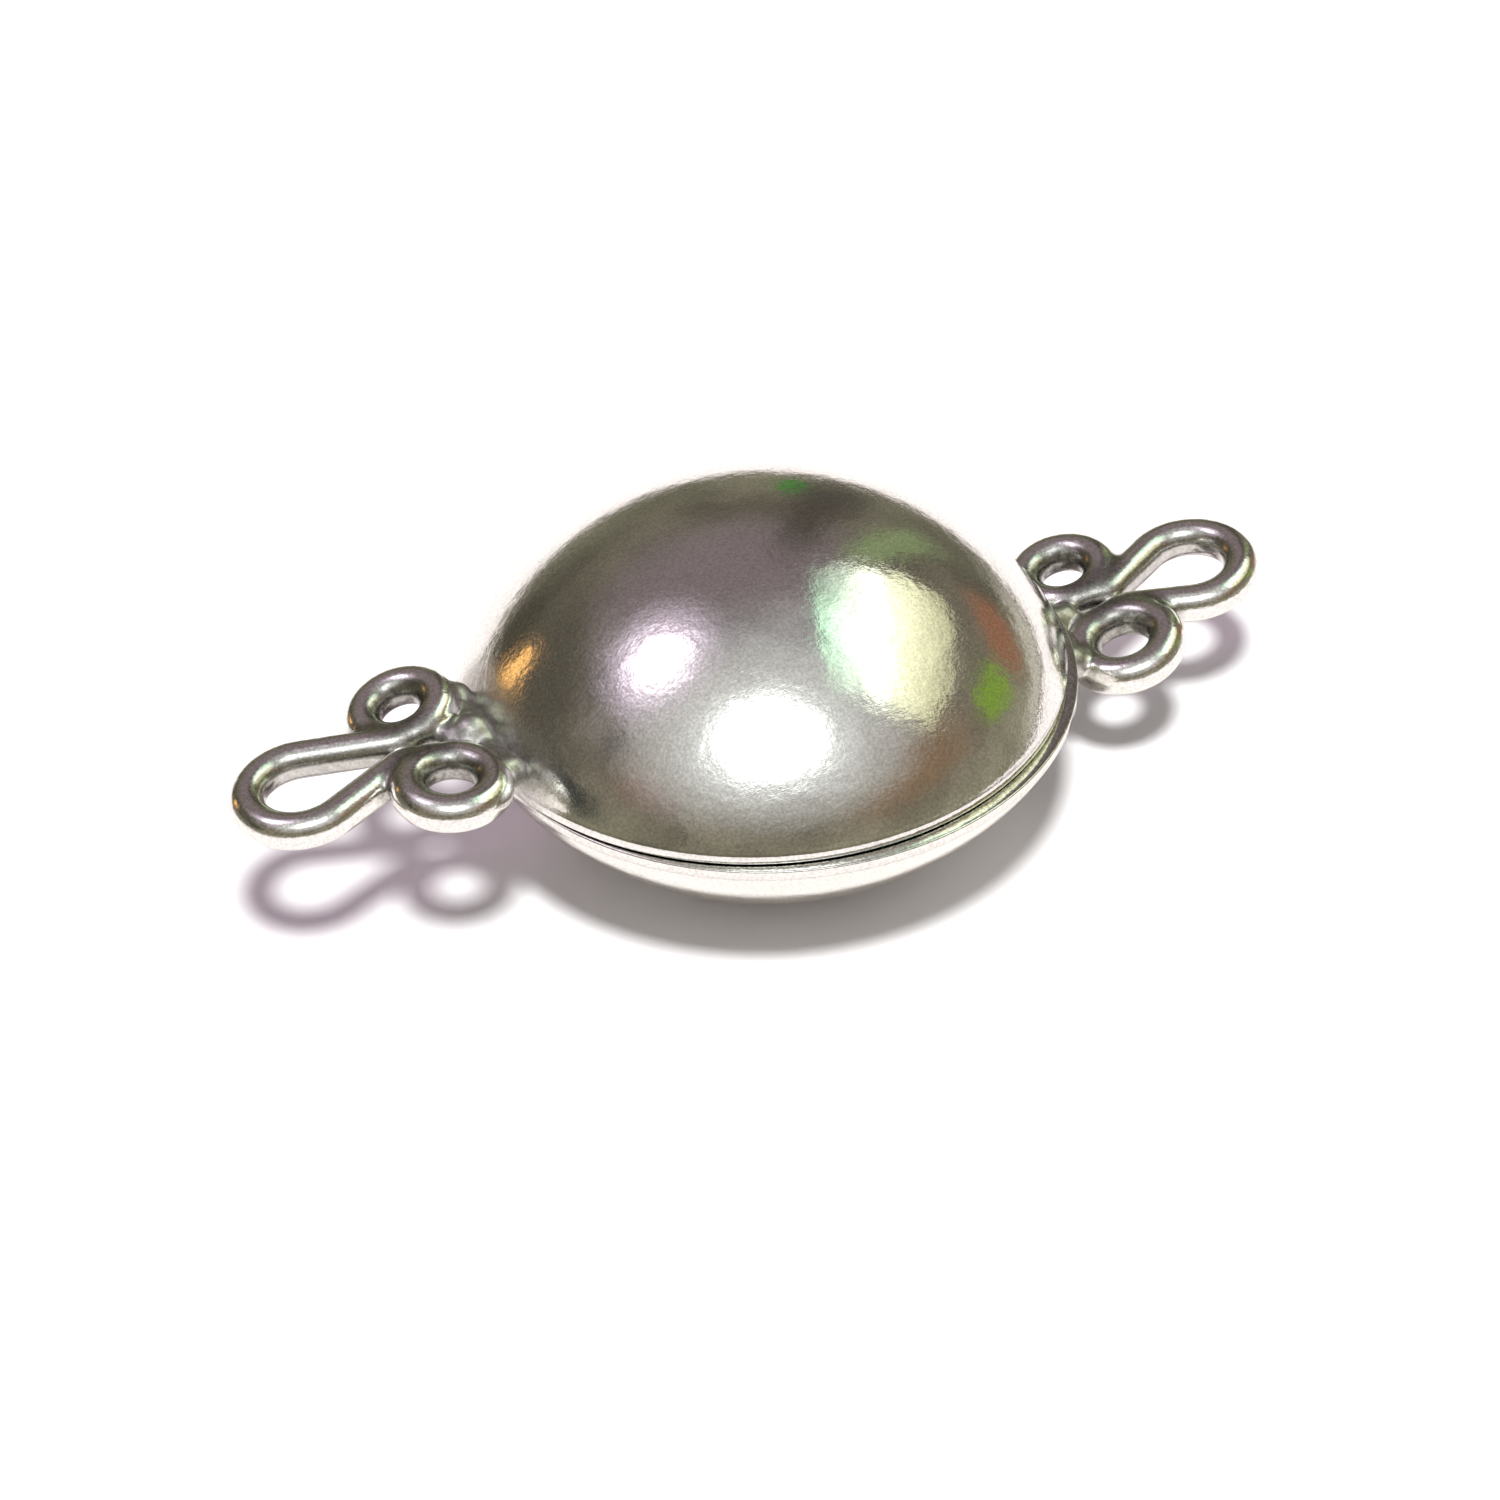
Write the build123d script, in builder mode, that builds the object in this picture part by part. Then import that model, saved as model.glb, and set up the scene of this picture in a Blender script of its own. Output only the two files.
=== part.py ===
from build123d import *
import os
from collections import namedtuple
from math import asin, atan2, cos, degrees, hypot, radians, sin, sqrt

# Magnetic clasp for a three-strand bracelet or necklace, in millimetres.
# Two hollow domed halves meet at a level seam. Each holds a disc magnet in its flat plate
# and carries a clover of three wire loops, soldered on just clear of the seam.

# Body
clasp_diameter = 16.0
half_height = 4.8
shell_wall = 0.5
plate_thickness = 0.4
rim_bevel = 0.12
foot_diameter = 2.0
seam_gap = 0.04
vent_diameter = 0.7
vent_spread = 5.6

# How the lower half sits against the upper one, as the magnets let it settle
slip_x = 0.13
slip_y = -0.33
turn = 2.5

# Magnets and the cups that hold them
magnet_diameter = 6.0
magnet_thickness = 1.6
magnet_chamfer = 0.1
magnet_clearance = 0.05
magnet_recess = 0.05
cup_wall = 0.4

# Wire clovers
wire_diameter = 1.02
leg_diameter = 1.00
leg_overlap = 0.06
neck_bend = 0.8
neck_reach = 0.7
ring_radius = 1.1
ring_spread = 1.72
ring_standoff = 0.1
loop_radius = 1.4
loop_length = 3.2
loop_shift = 0.08
upper_lift = 0.39
lower_lift = 0.69

# Solder: a bead where each ring meets the rim, and a lump between the two rings
bead_radius = 0.62
lump_radius = 0.6
lump_standoff = 0.35

# Each ring beside the neck: the side that it is on, its radius to the middle of the wire,
# how far its middle stands from the clover's axis, and how much it leans towards the seam
Ring = namedtuple("Ring", "side radius spread lean")

# The long loop at the end: its radius, its middle's distance from the line of the rings,
# its shift off the axis and its lean
Loop = namedtuple("Loop", "radius length shift lean")

# A clover: the clear height of its wire off the seam, its rings and its loop
Clover = namedtuple("Clover", "lift rings loop")

upper_clover = Clover(
    lift=upper_lift,
    rings=(
        Ring(1, 1.01 * ring_radius, 1.075 * ring_spread, 0.0),
        Ring(-1, 0.935 * ring_radius, 0.93 * ring_spread, 15.0),
    ),
    loop=Loop(loop_radius, 1.078 * loop_length, -loop_shift, 7.0),
)
lower_clover = Clover(
    lift=lower_lift,
    rings=(
        Ring(1, 1.045 * ring_radius, 1.017 * ring_spread, 13.0),
        Ring(-1, 0.955 * ring_radius, 0.977 * ring_spread, 11.0),
    ),
    loop=Loop(loop_radius, 0.922 * loop_length, 0.0, 6.0),
)

clasp_radius = clasp_diameter / 2
wire_radius = wire_diameter / 2
leg_radius = leg_diameter / 2
neck_spread = leg_radius - leg_overlap / 2
seat_radius = magnet_diameter / 2 + magnet_clearance
seat_depth = magnet_recess + magnet_thickness + magnet_clearance
cup_radius = seat_radius + cup_wall
cup_top = seat_depth + cup_wall

# The dome is a shallow cap of a sphere that starts on the plate's outer edge
dome_rise = half_height - plate_thickness
dome_radius = (clasp_radius**2 + dome_rise**2) / (2 * dome_rise)
dome_centre = half_height - dome_radius

# The lower dome's crown is worn flat over a small round foot that the clasp rests on
foot_depth = dome_radius - sqrt(dome_radius**2 - (foot_diameter / 2) ** 2)


def reach(clover):
    """Distance from the half's axis to the line of the rings, which stand just off the rim."""
    ring = clover.rings[0]
    rim = sqrt(clasp_radius**2 - ring.spread**2)
    return rim + ring_standoff + wire_radius + ring.radius


def tip(clover):
    """Distance from the half's axis to the far end of the long loop."""
    loop = clover.loop
    return reach(clover) + (loop.length + loop.radius) * cos(radians(loop.lean)) + leg_radius


# The origin lies under the middle of the whole length, in the plane of the foot
middle = (tip(lower_clover) * cos(radians(turn)) + slip_x - tip(upper_clover)) / 2
upper_x = -middle
seam_height = half_height - foot_depth + seam_gap / 2

# Each half is built in a plane of its own: x runs out along its clover, z away from the seam
upper_seat = Plane(
    origin=(upper_x, -slip_y / 2, seam_height + seam_gap / 2),
    x_dir=(-1, 0, 0),
    z_dir=(0, 0, 1),
)
lower_seat = Plane(
    origin=(upper_x + slip_x, slip_y / 2, seam_height - seam_gap / 2),
    x_dir=(cos(radians(turn)), sin(radians(turn)), 0),
    z_dir=(0, 0, -1),
)


def upright(seat):
    """The upright plane through a half's axis: x runs out along its clover, y away from the seam."""
    return Plane(origin=seat.origin, x_dir=seat.x_dir, z_dir=-seat.y_dir)


def leaning(seat, along, across, height, lean):
    """A plane beside a half for one loop of wire, leaning towards the seam as it goes out."""
    out = seat.x_dir * cos(radians(lean)) - seat.z_dir * sin(radians(lean))
    normal = seat.x_dir * sin(radians(lean)) + seat.z_dir * cos(radians(lean))
    return Plane(origin=seat.from_local_coords((along, across, height)), x_dir=out, z_dir=normal)


def leg_solid(seat, clover, ring):
    """Half of the long loop: from its far end round to the neck, then out into one ring."""
    loop = clover.loop
    height = wire_radius + clover.lift
    loop_plane = leaning(seat, reach(clover), loop.shift, height, loop.lean)

    # The straight flank runs from the neck to where it touches the loop's round end
    span = hypot(loop.length - neck_reach, neck_spread)
    flank = asin(loop.radius / span) - atan2(neck_spread, loop.length - neck_reach)
    touch = (
        loop.length - loop.radius * sin(flank),
        ring.side * loop.radius * cos(flank),
    )
    corner = (neck_reach, ring.side * neck_spread)

    # The leg ends on the line of the rings, where its tip lies wholly inside the ring's wire
    leg_end = (0, ring.side * (ring.spread - ring.radius) - loop.shift)
    with BuildPart() as leg:
        with BuildLine(loop_plane) as path:
            JernArc(
                start=(loop.length + loop.radius, 0),
                tangent=(0, ring.side),
                radius=loop.radius,
                arc_size=ring.side * (90 + degrees(flank)),
            )
            FilletPolyline(touch, corner, leg_end, radius=neck_bend)
        route = path.wires()[0]
        with BuildSketch(Plane(origin=route @ 0, z_dir=route % 0)):
            Circle(leg_radius)
        sweep(path=route)
    return leg.part


def ring_solid(seat, clover, ring):
    """One closed ring beside the neck."""
    height = wire_radius + clover.lift
    with BuildPart() as wire:
        with Locations(leaning(seat, reach(clover), ring.side * ring.spread, height, ring.lean)):
            Torus(ring.radius, wire_radius)
    return wire.part


def bead_solid(seat, clover, ring):
    """The bead of solder between one ring and the rim, with its poles turned into the metal."""
    rim = sqrt(clasp_radius**2 - ring.spread**2)
    height = wire_radius + clover.lift
    with BuildPart() as bead:
        with Locations(seat.from_local_coords((rim, ring.side * ring.spread, height))):
            Sphere(bead_radius, rotation=(0, 90, 0))
    return bead.part


def lump_solid(seat, clover):
    """The lump of solder that fills the corner between the two rings and the rim."""
    height = wire_radius + clover.lift
    with BuildPart() as lump:
        with Locations(seat.from_local_coords((clasp_radius + lump_standoff, 0, height))):
            Sphere(lump_radius, rotation=(0, 90, 0))
    return lump.part


def shell_solid(seat, crown_cut):
    """The dome, flat plate and magnet cup of one half, with a vent hole in its plate."""
    inner_radius = dome_radius - shell_wall
    inner_rim = sqrt(inner_radius**2 - (plate_thickness - dome_centre) ** 2)
    with BuildPart() as shell:
        with BuildSketch(upright(seat)):
            with BuildLine():
                RadiusArc((0, half_height), (clasp_radius, plate_thickness), dome_radius)
                Polyline(
                    (clasp_radius, plate_thickness),
                    (clasp_radius, rim_bevel),
                    (clasp_radius - rim_bevel, 0),
                    (seat_radius, 0),
                    (seat_radius, seat_depth),
                    (0, seat_depth),
                    (0, cup_top),
                    (cup_radius, cup_top),
                    (cup_radius, plate_thickness),
                    (inner_rim, plate_thickness),
                )
                RadiusArc((inner_rim, plate_thickness), (0, half_height - shell_wall), -inner_radius)
                Line((0, half_height - shell_wall), (0, half_height))
            make_face()
        revolve(axis=Axis(seat.origin, seat.z_dir))
        with BuildSketch(seat):
            with Locations((-vent_spread, 0)):
                Circle(vent_diameter / 2)
        extrude(amount=plate_thickness + rim_bevel, mode=Mode.SUBTRACT)
        if crown_cut:
            with BuildSketch(seat.offset(half_height - crown_cut)):
                Circle(clasp_radius)
            extrude(amount=2 * crown_cut, mode=Mode.SUBTRACT)
    return shell.part


def half_solid(seat, clover, crown_cut):
    """One half: its shell with the clover soldered on, joined one piece at a time."""
    solid = shell_solid(seat, crown_cut)
    for piece in (bead_solid, ring_solid, leg_solid):
        for ring in clover.rings:
            solid = solid + piece(seat, clover, ring)
    return solid + lump_solid(seat, clover)


def magnet_solid(seat):
    """One disc magnet, lying a hair below the face of its plate."""
    with BuildPart() as magnet:
        with BuildSketch(seat.offset(magnet_recess)):
            Circle(magnet_diameter / 2)
        extrude(amount=magnet_thickness)
        chamfer(magnet.edges(), magnet_chamfer)
    return magnet.part


os.makedirs("parts", exist_ok=True)
for name, seat, clover, crown_cut in (
    ("upper", upper_seat, upper_clover, 0),
    ("lower", lower_seat, lower_clover, foot_depth),
):
    half_part = half_solid(seat, clover, crown_cut)
    half_part.label = f"{name}_half"
    export_step(half_part, f"parts/{name}_half.step")
    magnet_part = magnet_solid(seat)
    magnet_part.label = f"{name}_magnet"
    export_step(magnet_part, f"parts/{name}_magnet.step")
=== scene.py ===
from math import asin, atan2, cos, hypot, pi, radians, sin, sqrt, tan

import bmesh
import bpy
import numpy as np
from mathutils import Matrix, Vector


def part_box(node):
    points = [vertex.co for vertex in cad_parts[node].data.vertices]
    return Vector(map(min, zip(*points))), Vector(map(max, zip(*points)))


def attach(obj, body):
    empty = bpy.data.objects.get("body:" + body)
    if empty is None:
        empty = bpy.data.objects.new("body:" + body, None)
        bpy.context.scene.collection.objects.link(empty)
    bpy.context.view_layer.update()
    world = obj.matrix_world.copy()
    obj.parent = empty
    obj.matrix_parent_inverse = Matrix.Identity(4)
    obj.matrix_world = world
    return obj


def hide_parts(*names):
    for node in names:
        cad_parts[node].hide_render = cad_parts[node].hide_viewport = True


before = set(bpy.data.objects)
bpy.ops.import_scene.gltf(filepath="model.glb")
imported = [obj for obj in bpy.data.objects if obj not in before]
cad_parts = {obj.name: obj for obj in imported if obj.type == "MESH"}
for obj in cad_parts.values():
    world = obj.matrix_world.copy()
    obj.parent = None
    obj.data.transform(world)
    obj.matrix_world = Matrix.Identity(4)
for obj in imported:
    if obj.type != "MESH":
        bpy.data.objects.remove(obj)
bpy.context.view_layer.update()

# Magnetic clasp with two domed silver halves and a clover of wire loops on each.
# Lengths are in millimetres up to the point where a finished mesh is scaled to metres.
MM = 0.001
SHARP_ANGLE = radians(38)

# Body
CLASP_RADIUS = 8.0
HALF_HEIGHT = 4.8
PLATE_THICKNESS = 0.4
RIM_ROUND = 0.05
EDGE_HEIGHT = 0.26
EDGE_GROOVE = 0.012
SHOULDER_START = 7.0
VENT_RADIUS = 0.35
VENT_SPREAD = 5.6
VENT_DEPTH = 2.0
SEAT_RADIUS = 3.05
SEAT_DEPTH = 1.7
SEAT_LIP = 0.06
MAGNET_RECESS = 0.05
TURN = radians(2.5)

# Wire
WIRE_RADIUS = 0.51
LEG_RADIUS = 0.50
NECK_SPREAD = 0.47
NECK_BEND = 0.8
NECK_REACH = 0.7
RING_STANDOFF = 0.1
HOLE_START = 0.2

# Each clover: clear height off the seam, rings as (side, radius, spread, lean in degrees),
# and the end loop as (radius, length, shift, lean in degrees)
CLOVERS = {
    "upper": (0.39, ((1, 1.11, 1.85, 0.0), (-1, 1.03, 1.60, 15.0)), (1.40, 3.45, -0.08, 7.0)),
    "lower": (0.69, ((1, 1.15, 1.75, 13.0), (-1, 1.05, 1.68, 11.0)), (1.40, 2.95, 0.0, 6.0)),
}

# Solder: the patch of the body that it flows onto, and how far its flow and its tarnish reach
BED_SPREAD = radians(23)
BED_REACH = 6.7
BED_BASE = 0.14
BED_INSIDE = 0.08
VOXEL = 0.042
WIRE_FLOW = 0.34
DROP_FLOW = 0.3
JUNCTION_REACH = 0.4
CAST_REACH = 0.12
WIRE_TARNISH = 0.6
DROP_TARNISH = 1.3

# The photograph: its side in pixels, the pixel that the middle of the seam lies on, its scale
# and the distance of the camera from the middle of the seam, in millimetres
PHOTO_SIDE = 1500
SEAM_PIXEL = (762, 674.4)
PIXELS_PER_MM = 38.2
CAMERA_DISTANCE = 205

DOME_RISE = HALF_HEIGHT - PLATE_THICKNESS
DOME_RADIUS = (CLASP_RADIUS**2 + DOME_RISE**2) / (2 * DOME_RISE)
DOME_CENTRE = HALF_HEIGHT - DOME_RADIUS
FOOT_RADIUS = 1.0


def seat_of(name):
    """Where a half's own plane lies, from its magnet: x runs out along its clover, z away from the seam."""
    low, high = (Vector(corner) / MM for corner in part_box(f"{name}_magnet"))
    middle = (low + high) / 2
    if name == "upper":
        out, away, level = Vector((-1, 0, 0)), Vector((0, 0, 1)), low.z - MAGNET_RECESS
    else:
        out, away, level = Vector((cos(TURN), sin(TURN), 0)), Vector((0, 0, -1)), high.z + MAGNET_RECESS
    return Vector((middle.x, middle.y, level)), out, away


def seat_matrix(name):
    """The turn and move from a half's own plane to its place in the clasp."""
    origin, out, away = seat_of(name)
    across = away.cross(out)
    turned = Matrix((out, across, away)).transposed().to_4x4()
    return Matrix.Translation(origin) @ turned


# Shared helpers
def as_mesh(name, bm):
    """Turns a bmesh into a mesh and frees it."""
    mesh = bpy.data.meshes.new(name)
    bm.to_mesh(mesh)
    bm.free()
    return mesh


def as_object(name, data):
    """An object in the scene for a mesh, curve, light or camera."""
    piece = bpy.data.objects.new(name, data)
    bpy.context.scene.collection.objects.link(piece)
    return piece


def finished(name, bm, body, slot, material, *nodes):
    """Turns a mesh in millimetres into a finished piece in metres that rides on its body."""
    mesh = as_mesh(name, bm)
    mesh.transform(Matrix.Scale(MM, 4))
    mesh.shade_smooth()
    mesh.set_sharp_from_angle(angle=SHARP_ANGLE)
    piece = as_object(name, mesh)
    mesh.materials.append(material)
    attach(piece, body)
    if nodes:
        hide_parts(*nodes)
    return piece


def evaluated(bm, modifiers, weights=()):
    """The mesh after some modifiers, in a bmesh of its own. Each is (type, {setting: value}).
    The weights fill a vertex group named flow, for modifiers that act on parts of the mesh."""
    mesh = as_mesh("blank", bm)
    blank = as_object("blank", mesh)
    if len(weights):
        group = blank.vertex_groups.new(name="flow")
        for index, weight in enumerate(weights):
            if weight > 0.01:
                group.add([index], float(weight), "REPLACE")
    for kind, settings in modifiers:
        modifier = blank.modifiers.new(kind.lower(), kind)
        for key, value in settings.items():
            setattr(modifier, key, value)
    depsgraph = bpy.context.evaluated_depsgraph_get()
    shaped = bpy.data.meshes.new_from_object(blank.evaluated_get(depsgraph))
    out = bmesh.new()
    out.from_mesh(shaped)
    bpy.data.objects.remove(blank)
    bpy.data.meshes.remove(mesh)
    bpy.data.meshes.remove(shaped)
    return out


def arc(centre, radius, start, end, steps):
    """Points of an arc in a flat plane, both ends included."""
    return [
        (centre[0] + radius * cos(a), centre[1] + radius * sin(a))
        for a in (start + (end - start) * i / steps for i in range(steps + 1))
    ]


# The domed shells
def dome_height(out):
    """The dome's height over the seam at a distance from the axis. Near the rim it is filed steeper."""
    filed = max(0.0, (out - SHOULDER_START) / (CLASP_RADIUS - SHOULDER_START))
    return DOME_CENTRE + sqrt(DOME_RADIUS**2 - out**2) - (PLATE_THICKNESS - EDGE_HEIGHT) * filed**3


def shell_profile(foot):
    """Half of a shell's outline, from its pole over the rim and plate to the magnet's seat.
    The crown is flat over the foot's radius."""
    rim_angle = asin(CLASP_RADIUS / DOME_RADIUS)
    foot_angle = asin(foot / DOME_RADIUS)
    dome = []
    for i in range(130):
        out = DOME_RADIUS * sin(foot_angle + (rim_angle - foot_angle) * i / 130)
        dome.append((out, dome_height(out)))
    if foot:
        dome.insert(0, (0.0, dome[0][1]))
    groove = [(CLASP_RADIUS - EDGE_GROOVE, EDGE_HEIGHT), (CLASP_RADIUS, EDGE_HEIGHT - 0.02)]
    rim = arc((CLASP_RADIUS - RIM_ROUND, RIM_ROUND), RIM_ROUND, 0, -pi / 2, 10)
    face = [(out, 0.0) for out in (7.8, 5.5, SEAT_RADIUS + 0.15, SEAT_RADIUS + SEAT_LIP)]
    face.append((SEAT_RADIUS, SEAT_LIP))
    seat = [(SEAT_RADIUS, SEAT_DEPTH), (0.0, SEAT_DEPTH)]
    return dome + groove + rim + face + seat


def shell_mesh(name):
    """A dome with its flat plate, turned about the half's axis, with a vent hole in the plate."""
    bm = bmesh.new()
    foot = FOOT_RADIUS if name == "lower" else 0.0
    line = [bm.verts.new((r, 0, h)) for r, h in shell_profile(foot)]
    for a, b in zip(line, line[1:]):
        bm.edges.new((a, b))
    bmesh.ops.spin(
        bm, geom=bm.verts[:] + bm.edges[:], axis=(0, 0, 1), cent=(0, 0, 0),
        angle=2 * pi, steps=288, use_merge=True,
    )
    bmesh.ops.remove_doubles(bm, verts=bm.verts[:], dist=1e-5)
    bmesh.ops.recalc_face_normals(bm, faces=bm.faces[:])

    drill = bmesh.new()
    bmesh.ops.create_cone(
        drill, cap_ends=True, segments=40, radius1=VENT_RADIUS, radius2=VENT_RADIUS, depth=2 * VENT_DEPTH,
        matrix=Matrix.Translation((-VENT_SPREAD, 0, 0)),
    )
    drill_mesh = as_mesh("drill", drill)
    drill_piece = as_object("drill", drill_mesh)
    cut = {"object": drill_piece, "operation": "DIFFERENCE", "solver": "MANIFOLD"}
    bm = evaluated(bm, [("BOOLEAN", cut)])
    bpy.data.objects.remove(drill_piece)
    bpy.data.meshes.remove(drill_mesh)
    bmesh.ops.transform(bm, matrix=seat_matrix(name), verts=bm.verts[:])
    return bm


def mark(bm, name, shares):
    """Stores a share from 0 to 1 for each point as an attribute that the materials read."""
    layer = bm.verts.layers.float.new(name)
    for vert, value in zip(bm.verts, shares):
        vert[layer] = float(value)


def soft_step(x):
    """A smooth rise from 0 to 1."""
    x = np.clip(x, 0, 1)
    return x * x * (3 - 2 * x)


# The wire clovers
def reach_of(rings):
    """Distance from the half's axis to the line of the rings."""
    rim = sqrt(CLASP_RADIUS**2 - rings[0][2] ** 2)
    return rim + RING_STANDOFF + WIRE_RADIUS + rings[0][1]


def leaned(point, along, height, lean):
    """A point of a loop's flat plan, leaned towards the seam about the line of the rings."""
    x, y = point
    return Vector((along + x * cos(lean), y, height - x * sin(lean)))


def leg_plan(ring, loop):
    """One leg of the end loop in its flat plan: round end, flank, neck bend and run into a ring."""
    side, ring_radius, spread, _ = ring
    radius, length, shift, _ = loop
    span = hypot(length - NECK_REACH, NECK_SPREAD)
    flank = asin(radius / span) - atan2(NECK_SPREAD, length - NECK_REACH)
    touch = Vector((length - radius * sin(flank), radius * cos(flank)))
    corner = Vector((NECK_REACH, NECK_SPREAD))
    end = Vector((0, spread - ring_radius - side * shift))
    into = (corner - touch).normalized()
    away = (end - corner).normalized()
    turn = into.angle(away)
    run = NECK_BEND * tan(turn / 2)
    start = corner - into * run
    stop = corner + away * run
    middle = corner + (away - into).normalized() * (NECK_BEND / cos(turn / 2))
    a0 = atan2(*(start - middle).yx)
    a1 = atan2(*(stop - middle).yx)
    step = (a1 - a0 + pi) % (2 * pi) - pi
    plan = arc((length, 0), radius, 0, pi / 2 + flank, 40)
    plan += [tuple(touch.lerp(start, i / 16)) for i in range(1, 16)]
    plan += arc(middle, NECK_BEND, a0, a0 + step, 16)
    plan += [tuple(stop.lerp(end, i / 4)) for i in range(1, 5)]
    return [(x, side * y + shift) for x, y in plan]


def tube(points, radius, closed):
    """A round wire along some points, as a bmesh."""
    curve = bpy.data.curves.new("wire", "CURVE")
    curve.dimensions = "3D"
    curve.twist_mode = "MINIMUM"
    curve.bevel_depth = radius
    curve.bevel_resolution = 10
    curve.use_fill_caps = not closed
    spline = curve.splines.new("POLY")
    spline.points.add(len(points) - 1)
    for knot, place in zip(spline.points, points):
        knot.co = (*place, 1)
    spline.use_cyclic_u = closed
    wire = as_object("wire", curve)
    depsgraph = bpy.context.evaluated_depsgraph_get()
    mesh = bpy.data.meshes.new_from_object(wire.evaluated_get(depsgraph))
    bpy.data.objects.remove(wire)
    bpy.data.curves.remove(curve)
    return mesh


def clover_lines(name):
    """The clover's wires in the half's own plane, two rings and one end loop: the points of the
    middle line, the wire's radius, whether it is closed, and the two ends of the hole's middle."""
    lift, rings, loop = CLOVERS[name]
    along = reach_of(rings)
    height = WIRE_RADIUS + lift
    lines = []
    for side, radius, spread, lean in rings:
        plan = arc((0, side * spread), radius, 0, 2 * pi, 96)[:-1]
        centre = leaned((0, side * spread), along, height, radians(lean))
        points = [leaned(p, along, height, radians(lean)) for p in plan]
        lines.append((points, WIRE_RADIUS, True, (centre, centre)))
    near, far = (leg_plan(ring, loop) for ring in rings)
    plan = near[::-1] + far[1:]
    points, hole = (
        [leaned(p, along, height, radians(loop[3])) for p in flat]
        for flat in (plan, ((NECK_REACH + HOLE_START, loop[2]), (loop[1], loop[2])))
    )
    lines.append((points, LEG_RADIUS, False, tuple(hole)))
    return lines


def wall_of_hole(points, apart, places, radius, hole):
    """How fully each point lies on the wall of a wire loop's hole, from 0 to 1."""
    start, end = (np.array(tuple(p)) for p in hole)
    run = end - start
    reach = max(run @ run, 1e-9)
    t = np.clip(((places - start) @ run) / reach, 0, 1)
    inwards = start + t[:, None] * run - places
    inwards /= np.linalg.norm(inwards, axis=1)[:, None]
    share = ((points - places) * inwards).sum(axis=1) / radius
    return soft_step((share - 0.15) / 0.6) * soft_step(1.5 - (apart - radius) / 0.1)


def nearest_on(points, line, closed):
    """The nearest place on one middle line for each of many points, and its distance."""
    a = np.array([tuple(p) for p in line])
    b = np.roll(a, -1, axis=0)
    if not closed:
        a, b = a[:-1], b[:-1]
    best = np.full(len(points), 1e9)
    places = np.zeros_like(points)
    for p, q in zip(a, b):
        run = q - p
        t = np.clip(((points - p) @ run) / (run @ run), 0, 1)
        place = p + t[:, None] * run
        apart = np.sqrt(((points - place) ** 2).sum(axis=1))
        nearer = apart < best
        best[nearer] = apart[nearer]
        places[nearer] = place[nearer]
    return best, places


def body_gap(points):
    """Distance of many points outside the dome and rim, in the half's own plane."""
    flat = np.hypot(points[:, 0], points[:, 1])
    dome = np.hypot(flat, points[:, 2] - DOME_CENTRE) - DOME_RADIUS
    return np.maximum(dome, flat - CLASP_RADIUS)


def solder_bed():
    """The part of the body that the solder flows onto, a hair inside its surface, as a mesh."""
    start = CLASP_RADIUS - BED_INSIDE
    line = [(start, BED_BASE)]
    for i in range(31):
        out = start + (BED_REACH - start) * i / 30
        line.append((out, dome_height(out) - 1.5 * BED_INSIDE))
    line.append((BED_REACH, BED_BASE))
    bm = bmesh.new()
    corners = [bm.verts.new((r * cos(BED_SPREAD), -r * sin(BED_SPREAD), h)) for r, h in line]
    for a, b in zip(corners, corners[1:] + corners[:1]):
        bm.edges.new((a, b))
    bmesh.ops.spin(
        bm, geom=bm.verts[:] + bm.edges[:], axis=(0, 0, 1), cent=(0, 0, 0),
        angle=2 * BED_SPREAD, steps=64, use_merge=False,
    )
    bmesh.ops.holes_fill(bm, edges=bm.edges[:], sides=0)
    bmesh.ops.recalc_face_normals(bm, faces=bm.faces[:])
    return as_mesh("solder_bed", bm)


def solder_drops(name):
    """Where solder has gathered on a clover, as balls that then flow into the wire and the body:
    an uneven seam along the rim, a larger drop at each ring, and one in each notch of the neck."""
    lift, rings, loop = CLOVERS[name]
    along = reach_of(rings)
    height = WIRE_RADIUS + lift
    ends = [side * (spread + 0.05) for side, _, spread, _ in rings]
    drops = []
    for i in range(11):
        y = ends[0] + (ends[1] - ends[0]) * i / 10
        rim = sqrt(CLASP_RADIUS**2 - y**2)
        size = 0.42 + 0.03 * sin(5 * i + 2) - 0.14 * abs(i / 5 - 1) ** 3
        drops.append((Vector((rim + 0.04 + 0.03 * sin(3 * i), y, height - 0.14)), size))
    drops.append((Vector((CLASP_RADIUS + 0.22, 0.05, height + 0.02)), 0.60))
    drops.append((Vector((CLASP_RADIUS + 0.70, 0.0, height - 0.06)), 0.44))
    for side, radius, spread, lean in rings:
        rim = sqrt(CLASP_RADIUS**2 - spread**2)
        drops.append((Vector((rim + 0.14, side * spread, height - 0.06)), 0.48))
        notch = (1.14 * radius * cos(0.52), side * (spread - 1.14 * radius * sin(0.52)))
        drops.append((leaned(notch, along, height, radians(lean)), 0.36))
    return drops


def gaps_to_drops(points, drops):
    """Distance of many points outside each drop of solder."""
    return [np.linalg.norm(points - np.array(centre), axis=1) - size for centre, size in drops]


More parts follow.
